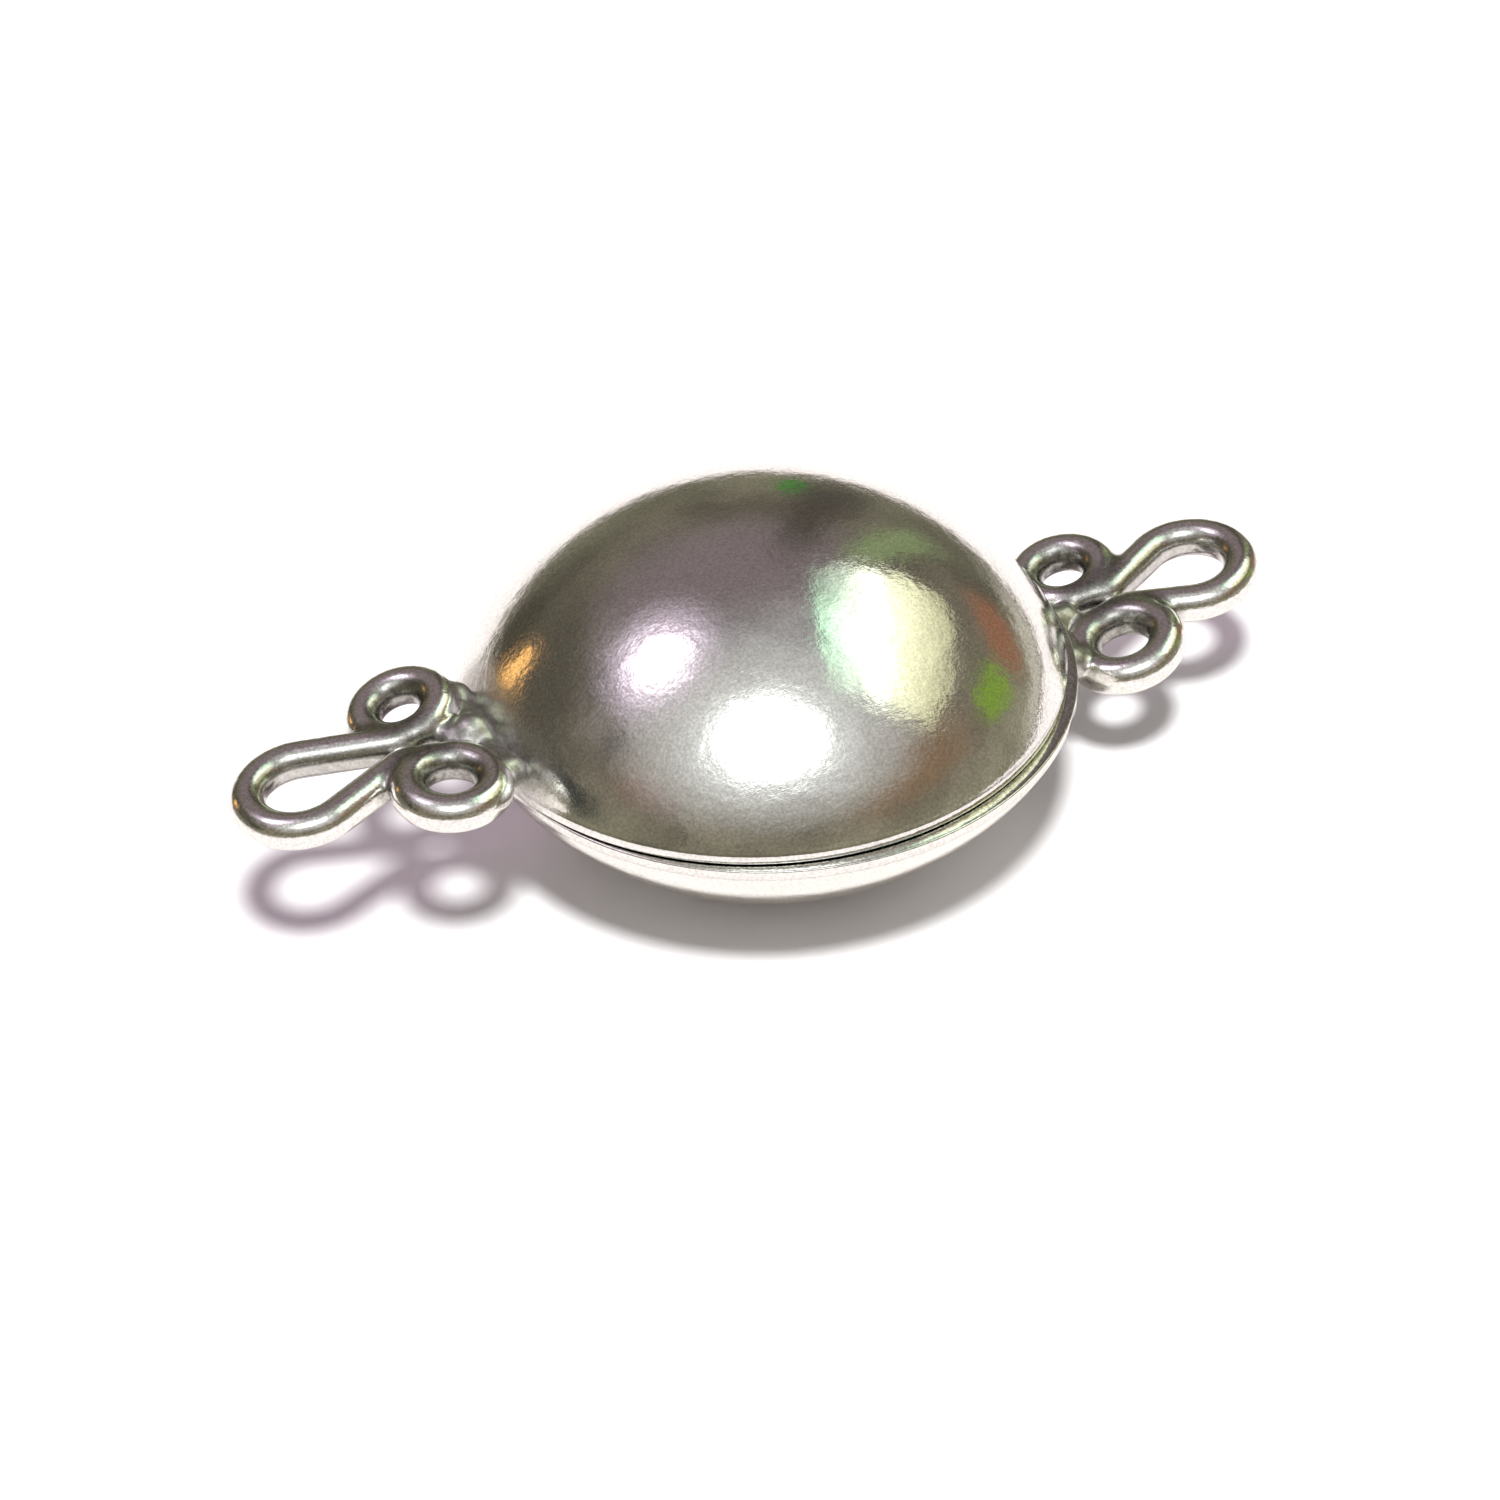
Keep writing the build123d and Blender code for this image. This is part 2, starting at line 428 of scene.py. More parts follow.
def clover_mesh(name):
    """The clover's wires and solder, fused and smoothed where solder has flowed."""
    lines = clover_lines(name)
    drops = solder_drops(name)
    bm = bmesh.new()
    solids = [tube(points, radius, closed) for points, radius, closed, _ in lines]
    solids.append(solder_bed())
    for mesh in solids:
        bm.from_mesh(mesh)
        bpy.data.meshes.remove(mesh)
    for centre, radius in drops:
        bmesh.ops.create_icosphere(bm, subdivisions=4, radius=radius, matrix=Matrix.Translation(centre))
    bm = evaluated(bm, [("REMESH", {"mode": "VOXEL", "voxel_size": VOXEL, "use_smooth_shade": True})])

    spots = np.array([tuple(v.co) for v in bm.verts])
    wire_gaps = []
    walls = []
    for (points, radius, closed, hole), depth in zip(lines, (0.8, 0.8, 0.45)):
        apart, places = nearest_on(spots, points, closed)
        wire_gaps.append(apart - radius)
        walls.append(depth * wall_of_hole(spots, apart, places, radius, hole))
    wire_gaps.append(body_gap(spots))
    drop_gaps = gaps_to_drops(spots, drops)
    second = np.sort(np.stack(wire_gaps + drop_gaps), axis=0)[1]
    drop_gap = np.min(drop_gaps, axis=0)
    flow = np.maximum(soft_step(1 - second / WIRE_FLOW), soft_step(1.5 - drop_gap / DROP_FLOW))
    bm = evaluated(
        bm,
        [
            ("SMOOTH", {"factor": 0.5, "iterations": 3}),
            ("SMOOTH", {"factor": 0.6, "iterations": 90, "vertex_group": "flow"}),
        ],
        flow,
    )
    junction = soft_step(1 - np.sort(np.stack(wire_gaps), axis=0)[1] / JUNCTION_REACH)
    cast = soft_step(1 - drop_gap / CAST_REACH)
    mark(bm, "tarnish_and_painted_shade", np.max([0.75 * junction, 0.50 * cast, *walls], axis=0))
    mark(bm, "solder", cast)
    bmesh.ops.transform(bm, matrix=seat_matrix(name), verts=bm.verts[:])
    return bm


# Shader groups
def new_group(name, inputs, outputs):
    """An empty shader node group with named sockets, and its two end nodes."""
    group = bpy.data.node_groups.new(name, "ShaderNodeTree")
    for label, kind, value in inputs:
        socket = group.interface.new_socket(label, in_out="INPUT", socket_type=kind)
        if value is not None:
            socket.default_value = value
    for label, kind in outputs:
        group.interface.new_socket(label, in_out="OUTPUT", socket_type=kind)
    return group, group.nodes.new("NodeGroupInput"), group.nodes.new("NodeGroupOutput")


def node(tree, kind, **values):
    """A node with its settings and the values of its own sockets, by name or number."""
    made = tree.nodes.new(kind)
    sockets = values.pop("sockets", {})
    for key, value in values.items():
        setattr(made, key, value)
    for key, value in sockets.items():
        made.inputs[key].default_value = value
    return made


def maths(tree, operation, a, b=None, clamp=False):
    """One sum on two values, each a socket or a number."""
    made = node(tree, "ShaderNodeMath", operation=operation, use_clamp=clamp)
    for slot, value in enumerate((a, b)):
        if value is None:
            continue
        if isinstance(value, (int, float)):
            made.inputs[slot].default_value = value
        else:
            tree.links.new(value, made.inputs[slot])
    return made.outputs[0]


def remap(tree, value, low, high, to_low=0.0, to_high=1.0, smooth=True):
    """Maps a value from one range to another, with soft ends."""
    made = node(
        tree, "ShaderNodeMapRange",
        interpolation_type="SMOOTHSTEP" if smooth else "LINEAR",
        sockets={"From Min": low, "From Max": high, "To Min": to_low, "To Max": to_high},
    )
    tree.links.new(value, made.inputs["Value"])
    return made.outputs["Result"]


def mixed(tree, share, first, second):
    """A mix of two colours, each a socket or a colour with its alpha."""
    made = node(tree, "ShaderNodeMix", data_type="RGBA")
    tree.links.new(share, made.inputs[0])
    for slot, colour in ((6, first), (7, second)):
        if isinstance(colour, tuple):
            made.inputs[slot].default_value = colour
        else:
            tree.links.new(colour, made.inputs[slot])
    return made.outputs[2]


def scratches_group():
    """Hairline scratches that run several ways: their height, and a mask of where they are thick."""
    group, start, end = new_group(
        "hairline_scratches",
        [("Vector", "NodeSocketVector", None), ("Scale", "NodeSocketFloat", 1.0)],
        [("Height", "NodeSocketFloat"), ("Mask", "NodeSocketFloat")],
    )
    total = None
    for turn, stretch, seed in (
        ((0.3, 0.2, 0.4), 16.0, 0.0), ((1.1, 0.5, 1.9), 14.0, 7.0), ((0.2, 1.3, 2.9), 20.0, 13.0),
    ):
        mapping = node(group, "ShaderNodeMapping", vector_type="POINT")
        mapping.inputs["Location"].default_value = (seed, seed, seed)
        mapping.inputs["Rotation"].default_value = turn
        mapping.inputs["Scale"].default_value = (1.0, stretch, stretch)
        group.links.new(start.outputs["Vector"], mapping.inputs["Vector"])
        grain = node(group, "ShaderNodeTexNoise", sockets={"Detail": 3.0, "Roughness": 0.55})
        group.links.new(mapping.outputs["Vector"], grain.inputs["Vector"])
        group.links.new(start.outputs["Scale"], grain.inputs["Scale"])
        line = remap(group, grain.outputs[0], 0.54, 0.66)
        total = line if total is None else maths(group, "ADD", total, line)
    group.links.new(total, end.inputs["Height"])
    group.links.new(maths(group, "MULTIPLY", total, 0.33, clamp=True), end.inputs["Mask"])
    return group


def patina_group():
    """Uneven tarnish: cloudy patches, gathered in crevices. The marked share from the mesh is tarnish, and
    in a few places painted shade.
    """
    group, start, end = new_group(
        "patina",
        [
            ("Vector", "NodeSocketVector", None), ("Tarnish And Shade", "NodeSocketFloat", 0.0),
            ("Amount", "NodeSocketFloat", 0.3),
        ],
        [("Mask", "NodeSocketFloat"), ("Clouds", "NodeSocketFloat")],
    )
    clouds = node(group, "ShaderNodeTexNoise", sockets={"Scale": 0.45, "Detail": 5.0, "Roughness": 0.6})
    specks = node(group, "ShaderNodeTexNoise", sockets={"Scale": 5.0, "Detail": 4.0, "Roughness": 0.65})
    for made in (clouds, specks):
        group.links.new(start.outputs["Vector"], made.inputs["Vector"])
    cloudy = remap(group, clouds.outputs[0], 0.35, 0.7)
    speckled = remap(group, specks.outputs[0], 0.4, 0.65)
    worn = maths(group, "MULTIPLY", speckled, 0.3)
    worn = maths(group, "ADD", worn, 0.7)
    deep = maths(group, "MULTIPLY", start.outputs["Tarnish And Shade"], worn)
    light = maths(group, "MULTIPLY", cloudy, start.outputs["Amount"])
    group.links.new(maths(group, "ADD", deep, light, clamp=True), end.inputs["Mask"])
    group.links.new(cloudy, end.inputs["Clouds"])
    return group


SCRATCHES = scratches_group()
TARNISH_SHADE_GROUP = patina_group()


def metal(name):
    """A new metal: the material, its tree and shader, and the place on the object in millimetres."""
    material = bpy.data.materials.new(name)
    material.use_nodes = True
    tree = material.node_tree
    shader = tree.nodes["Principled BSDF"]
    shader.inputs["Metallic"].default_value = 1.0
    coords = node(tree, "ShaderNodeTexCoord")
    in_mm = node(tree, "ShaderNodeVectorMath", operation="SCALE", sockets={"Scale": 1 / MM})
    tree.links.new(coords.outputs["Object"], in_mm.inputs[0])
    return material, tree, shader, in_mm.outputs[0]


def silver(name, patina, roughness, scratch_scale, scratch_depth, dent_scale, dent_depth):
    """Polished silver with hairline scratches, soft unevenness, dark patina in its crevices, and painted
    shade where the mesh marks it, at the shells' seam face and vent bottom.
    """
    material, tree, shader, place = metal(name)
    tarnish_and_painted_shade = node(tree, "ShaderNodeAttribute", attribute_name="tarnish_and_painted_shade")
    tarnish_shade_mask = node(tree, "ShaderNodeGroup", node_tree=TARNISH_SHADE_GROUP)
    tarnish_shade_mask.inputs["Amount"].default_value = patina
    tree.links.new(place, tarnish_shade_mask.inputs["Vector"])
    tree.links.new(tarnish_and_painted_shade.outputs["Fac"], tarnish_shade_mask.inputs["Tarnish And Shade"])
    # The dark colour is tarnish, and painted shade where the mesh's mark stands for shade
    tint = mixed(tree, tarnish_shade_mask.outputs["Mask"], (0.93, 0.925, 0.88, 1), (0.11, 0.105, 0.085, 1))
    grain = node(tree, "ShaderNodeTexNoise", sockets={"Scale": 13.0, "Detail": 1.0, "Roughness": 0.5})
    tree.links.new(place, grain.inputs["Vector"])
    speck = node(tree, "ShaderNodeVectorMath", operation="SCALE")
    tree.links.new(tint, speck.inputs[0])
    tree.links.new(remap(tree, grain.outputs[0], 0.3, 0.7, 0.80, 1.06, smooth=False), speck.inputs["Scale"])
    tree.links.new(speck.outputs[0], shader.inputs["Base Color"])

    marks = node(tree, "ShaderNodeGroup", node_tree=SCRATCHES)
    marks.inputs["Scale"].default_value = scratch_scale
    tree.links.new(place, marks.inputs["Vector"])
    rough = maths(tree, "MULTIPLY", marks.outputs["Mask"], 0.10)
    rough = maths(tree, "ADD", rough, roughness)
    aged = maths(tree, "MULTIPLY", tarnish_shade_mask.outputs["Mask"], 0.28)
    rough = maths(tree, "ADD", rough, aged)
    cast = node(tree, "ShaderNodeAttribute", attribute_name="solder")
    dull = maths(tree, "MULTIPLY", cast.outputs["Fac"], 0.20)
    tree.links.new(maths(tree, "ADD", rough, dull), shader.inputs["Roughness"])

    dents = node(tree, "ShaderNodeTexNoise", sockets={"Scale": dent_scale, "Detail": 4.0, "Roughness": 0.62})
    tree.links.new(place, dents.inputs["Vector"])
    pits = node(tree, "ShaderNodeTexNoise", sockets={"Scale": 3.2, "Detail": 3.0, "Roughness": 0.6})
    tree.links.new(place, pits.inputs["Vector"])
    pitted = maths(tree, "MULTIPLY", maths(tree, "MULTIPLY", pits.outputs[0], cast.outputs["Fac"]), 1.6)
    wave = node(tree, "ShaderNodeBump", sockets={"Strength": 1.0, "Distance": dent_depth * MM})
    tree.links.new(maths(tree, "ADD", dents.outputs[0], pitted), wave.inputs["Height"])
    fine = node(tree, "ShaderNodeBump", sockets={"Strength": 1.0, "Distance": scratch_depth * MM})
    tree.links.new(marks.outputs["Height"], fine.inputs["Height"])
    tree.links.new(wave.outputs["Normal"], fine.inputs["Normal"])
    tree.links.new(fine.outputs["Normal"], shader.inputs["Normal"])
    return material


dome_silver = silver("dome_silver", 0.05, 0.045, 1.6, 0.0003, 1.7, 0.013)
wire_silver = silver("wire_silver", 0.04, 0.05, 2.4, 0.0004, 1.8, 0.009)


def nickel():
    """Nickel plate on the magnets: fine grain and a few rub marks."""
    material, tree, shader, place = metal("magnet_nickel")
    grain = node(tree, "ShaderNodeTexNoise", sockets={"Scale": 9.0, "Detail": 5.0, "Roughness": 0.7})
    tree.links.new(place, grain.inputs["Vector"])
    tint = mixed(tree, grain.outputs[0], (0.55, 0.54, 0.51, 1), (0.68, 0.67, 0.64, 1))
    tree.links.new(tint, shader.inputs["Base Color"])
    marks = node(tree, "ShaderNodeGroup", node_tree=SCRATCHES)
    marks.inputs["Scale"].default_value = 2.0
    tree.links.new(place, marks.inputs["Vector"])
    rough = maths(tree, "MULTIPLY", marks.outputs["Mask"], 0.15)
    tree.links.new(maths(tree, "ADD", rough, 0.2), shader.inputs["Roughness"])
    fine = node(tree, "ShaderNodeBump", sockets={"Strength": 1.0, "Distance": 0.002 * MM})
    tree.links.new(marks.outputs["Height"], fine.inputs["Height"])
    tree.links.new(fine.outputs["Normal"], shader.inputs["Normal"])
    return material


magnet_nickel = nickel()

# The clasp
for half in ("upper", "lower"):
    body = f"{half}_body"
    shell = shell_mesh(half)
    inverse = np.array(seat_matrix(half).inverted())
    spots = np.array([tuple(v.co) for v in shell.verts])
    own = spots @ inverse[:3, :3].T + inverse[:3, 3]
    gaps = [nearest_on(own, points, closed)[0] - radius for points, radius, closed, _ in clover_lines(half)]
    drop_gap = np.min(gaps_to_drops(own, solder_drops(half)), axis=0)
    wire_gap = np.min(gaps, axis=0)
    near_wire = np.maximum(soft_step(1 - wire_gap / WIRE_TARNISH), soft_step(1 - drop_gap / DROP_TARNISH))
    out = np.hypot(own[:, 0], own[:, 1])
    near_line = 0.4 * soft_step(1 - np.abs(own[:, 2] - EDGE_HEIGHT) / 0.03) * (out > CLASP_RADIUS - 0.1)
    # Painted shade: the plate's face near the rim, in the gap between the halves, and the bottom of the vent
    # hole are darkened through the same mark as the tarnish
    painted_seam_shade = 0.18 * soft_step((out - 7.3) / 0.4) * (own[:, 2] < 0.02)
    beside_vent = np.hypot(own[:, 0] + VENT_SPREAD, own[:, 1]) < VENT_RADIUS + 0.01
    painted_vent_shade = beside_vent * (np.abs(own[:, 2] - VENT_DEPTH) < 0.1)
    mark(shell, "tarnish_and_painted_shade", np.max([near_wire * 0.48, near_line, painted_seam_shade, painted_vent_shade], axis=0))
    mark(shell, "solder", soft_step(1.3 - drop_gap / DROP_TARNISH))
    finished(f"{half}_shell", shell, body, "silver", dome_silver, f"{half}_half")
    finished(f"{half}_loops", clover_mesh(half), body, "silver", wire_silver, f"{half}_half")
    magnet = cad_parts[f"{half}_magnet"]
    magnet.data.materials.clear()
    magnet.data.materials.append(magnet_nickel)

# Floor, room and lights
scene = bpy.context.scene
scene.view_settings.view_transform = "Standard"
scene.view_settings.look = "None"


def bearing(azimuth, elevation):
    """The direction of a light: azimuth 0 is towards the front, -Y, and elevation is above the floor."""
    a, e = radians(azimuth), radians(elevation)
    return Vector((sin(a) * cos(e), -cos(a) * cos(e), sin(e)))


def floor_piece():
    """White paper. For the rays that the silver mirrors it is painted a little darker and warmer, and dark
    past a line near on the left and past a distance farther behind: painted reflection.
    """
    bm = bmesh.new()
    bmesh.ops.create_grid(bm, x_segments=1, y_segments=1, size=1.5)
    mesh = as_mesh("floor", bm)
    floor = as_object("floor", mesh)
    material = bpy.data.materials.new("floor_paper")
    material.use_nodes = True
    tree = material.node_tree
    shader = tree.nodes["Principled BSDF"]
    shader.inputs["Roughness"].default_value = 0.9
    shader.inputs["Specular IOR Level"].default_value = 0.0
    coords = node(tree, "ShaderNodeTexCoord")
    edge = node(tree, "ShaderNodeVectorMath", operation="DOT_PRODUCT")
    edge.inputs[1].default_value = (-0.98, 0.20, 0)
    tree.links.new(coords.outputs["Object"], edge.inputs[0])
    far = node(tree, "ShaderNodeVectorMath", operation="LENGTH")
    tree.links.new(coords.outputs["Object"], far.inputs[0])
    # Painted reflection: for mirrored rays the paper turns dark past a line on the left and past a distance
    # behind
    dark_reflection_left = remap(tree, edge.outputs["Value"], 0.049, 0.069)
    dark_reflection_far = remap(tree, far.outputs["Value"], 0.120, 0.175)
    rays = node(tree, "ShaderNodeLightPath")
    painted_dark_reflection = maths(tree, "MAXIMUM", dark_reflection_left, dark_reflection_far)
    painted_dark_reflection = maths(tree, "MULTIPLY", painted_dark_reflection, rays.outputs["Is Glossy Ray"])
    by_ray = rays.outputs["Is Glossy Ray"]
    # Painted reflection: mirrored rays see the paper darker and warmer than the camera does
    paper_and_painted_reflection = mixed(tree, by_ray, (0.86, 0.86, 0.865, 1), (0.77, 0.745, 0.725, 1))
    tree.links.new(mixed(tree, painted_dark_reflection, paper_and_painted_reflection, (0.13, 0.12, 0.085, 1)), shader.inputs["Base Color"])
    mesh.materials.append(material)


def patch_group():
    """A soft-edged rectangle of light in the room, seen in one direction, and the place within it."""
    group, start, end = new_group(
        "room_patch",
        [
            ("Direction", "NodeSocketVector", None), ("Centre", "NodeSocketVector", None),
            ("Side", "NodeSocketVector", None), ("Up", "NodeSocketVector", None),
            ("Half Width", "NodeSocketFloat", 0.3), ("Half Height", "NodeSocketFloat", 0.3),
            ("Edge", "NodeSocketFloat", 0.1), ("Round", "NodeSocketFloat", 0.0),
        ],
        [("Mask", "NodeSocketFloat"), ("Across", "NodeSocketFloat"), ("Along", "NodeSocketFloat")],
    )

    def dot(label):
        made = node(group, "ShaderNodeVectorMath", operation="DOT_PRODUCT")
        group.links.new(start.outputs["Direction"], made.inputs[0])
        group.links.new(start.outputs[label], made.inputs[1])
        return made.outputs["Value"]

    depth = dot("Centre")
    safe = maths(group, "MAXIMUM", depth, 0.05)
    across = maths(group, "DIVIDE", maths(group, "DIVIDE", dot("Side"), safe), start.outputs["Half Width"])
    along = maths(group, "DIVIDE", maths(group, "DIVIDE", dot("Up"), safe), start.outputs["Half Height"])
    size_x = maths(group, "ABSOLUTE", across)
    size_y = maths(group, "ABSOLUTE", along)
    box = maths(group, "MAXIMUM", size_x, size_y)
    square_x = maths(group, "MULTIPLY", across, across)
    square_y = maths(group, "MULTIPLY", along, along)
    oval = maths(group, "SQRT", maths(group, "ADD", square_x, square_y))
    blend = node(group, "ShaderNodeMix", data_type="FLOAT")
    group.links.new(start.outputs["Round"], blend.inputs[0])
    group.links.new(box, blend.inputs[2])
    group.links.new(oval, blend.inputs[3])
    outside = maths(group, "SUBTRACT", blend.outputs[0], 1.0)
    share = maths(group, "DIVIDE", outside, start.outputs["Edge"])
    share = maths(group, "ADD", share, 0.5)
    mask = remap(group, share, 1.0, 0.0)
    front = maths(group, "GREATER_THAN", depth, 0.06)
    group.links.new(maths(group, "MULTIPLY", mask, front), end.inputs["Mask"])
    group.links.new(across, end.inputs["Across"])
    group.links.new(along, end.inputs["Along"])
    return group


# Lit and coloured patches of the room: azimuth, elevation, half width and half height in degrees,
# softness of the edge, roundness, roll in degrees, colour
PATCHES = (
    ("lamp", -20, 62, 15.5, 11.5, 1.0, 1.0, 0, (2.9, 2.95, 3.0)),
    ("lamp_glow", -20, 62, 23, 17, 1.2, 1.0, 0, (0.92, 0.93, 0.94)),
    ("lamp_haze", -20, 62, 38, 28, 1.4, 1.0, 0, (0.615, 0.61, 0.59)),
    ("second_lamp", -123, 61, 9, 8.5, 0.8, 1.0, 0, (2.6, 2.3, 2.7)),
    ("second_glow", -123, 61, 16, 14, 1.3, 1.0, 0, (0.88, 0.74, 0.90)),
    ("orange_spot", -147, 13, 3.5, 6, 0.35, 0.6, 20, (1.5, 0.80, 0.27)),
    ("green_leaf", 84, 20, 9, 5, 0.5, 0.5, -25, (0.22, 0.34, 0.055)),
    ("red_cloth", 105, 14, 9, 6, 0.8, 0.5, 0, (0.31, 0.15, 0.09)),
    ("red_shelf", 38, 30, 22, 8, 1.5, 0.5, 0, (0.25, 0.168, 0.105)),
    ("red_chair", -72, 35, 10, 7, 1.2, 0.5, 0, (0.24, 0.16, 0.13)),
    ("dark_door", -101, 17, 15, 5, 1.0, 0.4, -12, (0.045, 0.048, 0.045)),
    ("curtain", 129, 27, 4, 14, 1.0, 0.3, 0, (0.24, 0.30, 0.15)),
    ("curtain_edge", 146, 24, 4.5, 22, 1.5, 0.3, 0, (0.085, 0.073, 0.062)),
    ("green_dot", 152, 9, 1.8, 5, 0.5, 0.6, 0, (0.06, 0.24, 0.04)),
    ("dark_corner", -136, 24, 22, 12, 1.3, 0.6, 0, (0.10, 0.088, 0.068)),
    ("back_wall", 172, 54, 30, 20, 1.3, 0.6, 0, (0.215, 0.172, 0.180)),
    ("dark_side", -158, 8, 13, 9, 1.3, 0.6, 0, (0.075, 0.065, 0.048)),
    ("pale_skirting", 102, 0, 20, 5, 1.0, 0.4, 0, (0.62, 0.58, 0.50)),
)


def room():
    """The room that the silver mirrors: dim and warm, with a lamp, a window and a few colours."""
    world = bpy.data.worlds.new("room")
    scene.world = world
    world.use_nodes = True
    tree = world.node_tree
    background = tree.nodes["Background"]
    coords = node(tree, "ShaderNodeTexCoord")
    waver = node(tree, "ShaderNodeTexNoise", sockets={"Scale": 7.0, "Detail": 2.0, "Roughness": 0.5})
    tree.links.new(coords.outputs["Generated"], waver.inputs["Vector"])
    centred = node(tree, "ShaderNodeVectorMath", operation="SUBTRACT")
    centred.inputs[1].default_value = (0.5, 0.5, 0.5)
    tree.links.new(waver.outputs["Color"], centred.inputs[0])
    small = node(tree, "ShaderNodeVectorMath", operation="SCALE", sockets={"Scale": 0.06})
    tree.links.new(centred.outputs[0], small.inputs[0])
    moved = node(tree, "ShaderNodeVectorMath", operation="ADD")
    tree.links.new(coords.outputs["Generated"], moved.inputs[0])
    tree.links.new(small.outputs[0], moved.inputs[1])
    direction = moved.outputs[0]

    split = node(tree, "ShaderNodeSeparateXYZ")
    tree.links.new(direction, split.inputs[0])
    wall = node(tree, "ShaderNodeValToRGB")
    ramp = wall.color_ramp
    ramp.elements[0].position = 0.0
    ramp.elements[0].color = (0.24, 0.23, 0.16, 1)
    ramp.elements[1].position = 1.0
    ramp.elements[1].color = (0.40, 0.385, 0.395, 1)
    for place, colour in (
        (0.25, (0.215, 0.195, 0.145, 1)), (0.50, (0.20, 0.175, 0.135, 1)),
        (0.72, (0.27, 0.24, 0.23, 1)), (0.90, (0.40, 0.37, 0.38, 1)),
    ):
        stop = ramp.elements.new(place)
        stop.color = colour
    tree.links.new(split.outputs["Z"], wall.inputs["Fac"])
    mottle = node(tree, "ShaderNodeTexNoise", sockets={"Scale": 3.2, "Detail": 3.0, "Roughness": 0.65})
    tree.links.new(coords.outputs["Generated"], mottle.inputs["Vector"])
    shade = remap(tree, mottle.outputs[0], 0.3, 0.7, 0.6, 1.4, smooth=False)
    behind = remap(tree, split.outputs["Y"], -0.2, 0.5, 1.05, 0.74)
    shade = maths(tree, "MULTIPLY", shade, behind)
    walls = node(tree, "ShaderNodeVectorMath", operation="SCALE")
    tree.links.new(wall.outputs["Color"], walls.inputs[0])
    tree.links.new(shade, walls.inputs["Scale"])
    colour = walls.outputs[0]

    patch = patch_group()

    def place_patch(azimuth, elevation, width, height, edge, roundness, roll):
        centre = bearing(azimuth, elevation)
        side = Vector((0, 0, 1)).cross(centre).normalized()
        up = centre.cross(side)
        turn = Matrix.Rotation(radians(roll), 3, centre)
        made = node(tree, "ShaderNodeGroup", node_tree=patch)
        made.inputs["Centre"].default_value = centre
        made.inputs["Side"].default_value = turn @ side
        made.inputs["Up"].default_value = turn @ up
        made.inputs["Half Width"].default_value = tan(radians(width))
        made.inputs["Half Height"].default_value = tan(radians(height))
        made.inputs["Edge"].default_value = edge
        made.inputs["Round"].default_value = roundness
        tree.links.new(direction, made.inputs["Direction"])
        return made

    window = place_patch(90, 52, 24.5, 19.5, 0.16, 0.25, -15)
    panes = node(tree, "ShaderNodeValToRGB")
    bands = panes.color_ramp
    bands.elements[0].position = 0.0
    bands.elements[0].color = (0.46, 0.45, 0.30, 1)
    bands.elements[1].position = 1.0
    bands.elements[1].color = (0.36, 0.70, 0.50, 1)
    for place, tone in (
        (0.18, (0.78, 0.77, 0.50, 1)), (0.36, (1.22, 1.22, 0.84, 1)), (0.47, (1.4, 1.45, 1.1, 1)),
        (0.50, (2.6, 2.7, 2.3, 1)), (0.60, (2.4, 2.6, 2.1, 1)), (0.645, (1.75, 2.05, 1.65, 1)),
        (0.76, (1.36, 1.76, 1.38, 1)), (0.90, (0.82, 1.26, 0.92, 1)),
    ):
        stop = bands.elements.new(place)
        stop.color = tone
    height = remap(tree, window.outputs["Along"], -1.1, 1.1, smooth=False)
    tree.links.new(height, panes.inputs["Fac"])
    colour = mixed(tree, window.outputs["Mask"], colour, panes.outputs["Color"])
    for _, azimuth, elevation, width, height, edge, roundness, roll, tone in PATCHES[::-1]:
        made = place_patch(azimuth, elevation, width, height, edge, roundness, roll)
        colour = mixed(tree, made.outputs["Mask"], colour, (*tone, 1))

    # The camera and the paper see plain white studio light, and only the silver mirrors the room
    def light(tone):
        made = node(tree, "ShaderNodeBackground")
        made.inputs["Color"].default_value = (*tone, 1)
        return made.outputs[0]

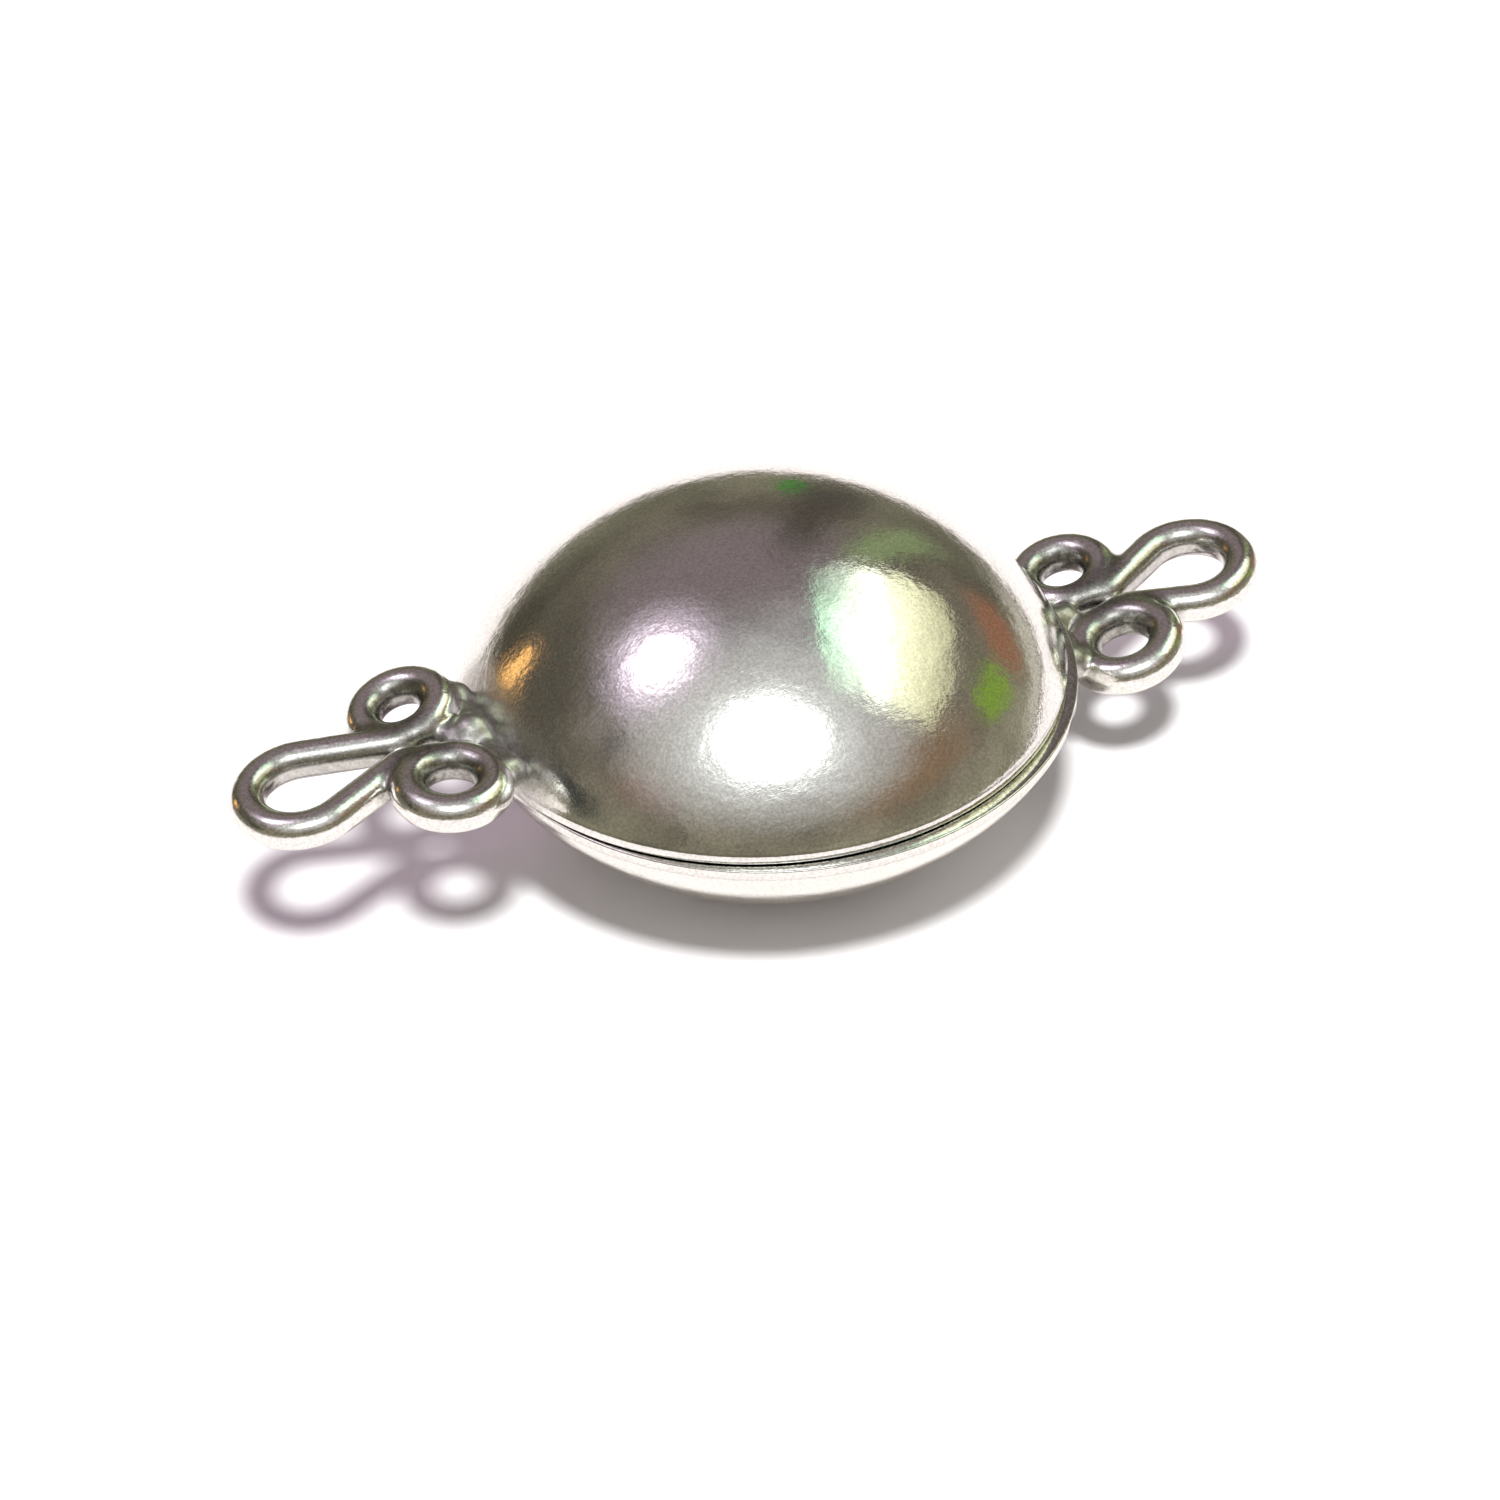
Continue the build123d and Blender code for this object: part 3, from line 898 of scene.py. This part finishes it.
    rays = node(tree, "ShaderNodeLightPath")
    tree.links.new(colour, background.inputs["Color"])
    by_paper = node(tree, "ShaderNodeMixShader")
    tree.links.new(rays.outputs["Is Diffuse Ray"], by_paper.inputs[0])
    tree.links.new(background.outputs[0], by_paper.inputs[1])
    tree.links.new(light((0.215, 0.192, 0.204)), by_paper.inputs[2])
    by_eye = node(tree, "ShaderNodeMixShader")
    tree.links.new(rays.outputs["Is Camera Ray"], by_eye.inputs[0])
    tree.links.new(by_paper.outputs[0], by_eye.inputs[1])
    tree.links.new(light((1.0, 1.0, 1.0)), by_eye.inputs[2])
    tree.links.new(by_eye.outputs[0], tree.nodes["World Output"].inputs["Surface"])
    world.cycles.sampling_method = "NONE"


def soft_lamp(name, azimuth, elevation, spread, strength, colour):
    """A distant soft lamp that lights the paper. The room's patches stand for it in the silver."""
    lamp = bpy.data.lights.new(name, "SUN")
    lamp.angle = radians(spread)
    lamp.energy = strength
    lamp.color = colour
    piece = as_object(name, lamp)
    piece.rotation_euler = bearing(azimuth, elevation).to_track_quat("Z", "Y").to_euler()
    piece.visible_glossy = False


def camera():
    """The photograph's view: a long lens from the left front, 37 degrees above the paper."""
    low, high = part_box("upper_magnet")
    centre = Vector(((low[0] + high[0]) / 2, (low[1] + high[1]) / 2, low[2] - MAGNET_RECESS * MM))
    elevation, azimuth, roll = radians(37.2), radians(-23.0), radians(-2.2)
    focal = PIXELS_PER_MM * CAMERA_DISTANCE
    back = Vector((sin(azimuth) * cos(elevation), -cos(azimuth) * cos(elevation), sin(elevation)))
    right = Vector((cos(azimuth), sin(azimuth), 0))
    up = back.cross(right)
    level_right = cos(roll) * right + sin(roll) * up
    level_up = -sin(roll) * right + cos(roll) * up
    off_right, off_down = (PHOTO_SIDE / 2 - place for place in SEAM_PIXEL)
    forward = (-back * focal + level_right * off_right - level_up * off_down).normalized()
    across = (level_right - level_right.dot(forward) * forward).normalized()
    upwards = across.cross(forward)
    eye = bpy.data.cameras.new("camera")
    eye.sensor_width = 36
    eye.lens = focal * eye.sensor_width / PHOTO_SIDE
    eye.clip_start = 0.01
    eye.clip_end = 10
    piece = as_object("camera", eye)
    turned = Matrix((across, upwards, -forward)).transposed().to_4x4()
    piece.matrix_world = Matrix.Translation(centre + back * CAMERA_DISTANCE * MM) @ turned
    scene.camera = piece


floor_piece()
room()
soft_lamp("key_lamp", -20, 62, 9, 4.2, (1.0, 1.0, 1.0))
soft_lamp("second_lamp", -122, 61, 22, 0.43, (1.0, 0.60, 0.92))
soft_lamp("window_light", 93, 49, 40, 0.38, (1.0, 0.97, 0.88))
camera()
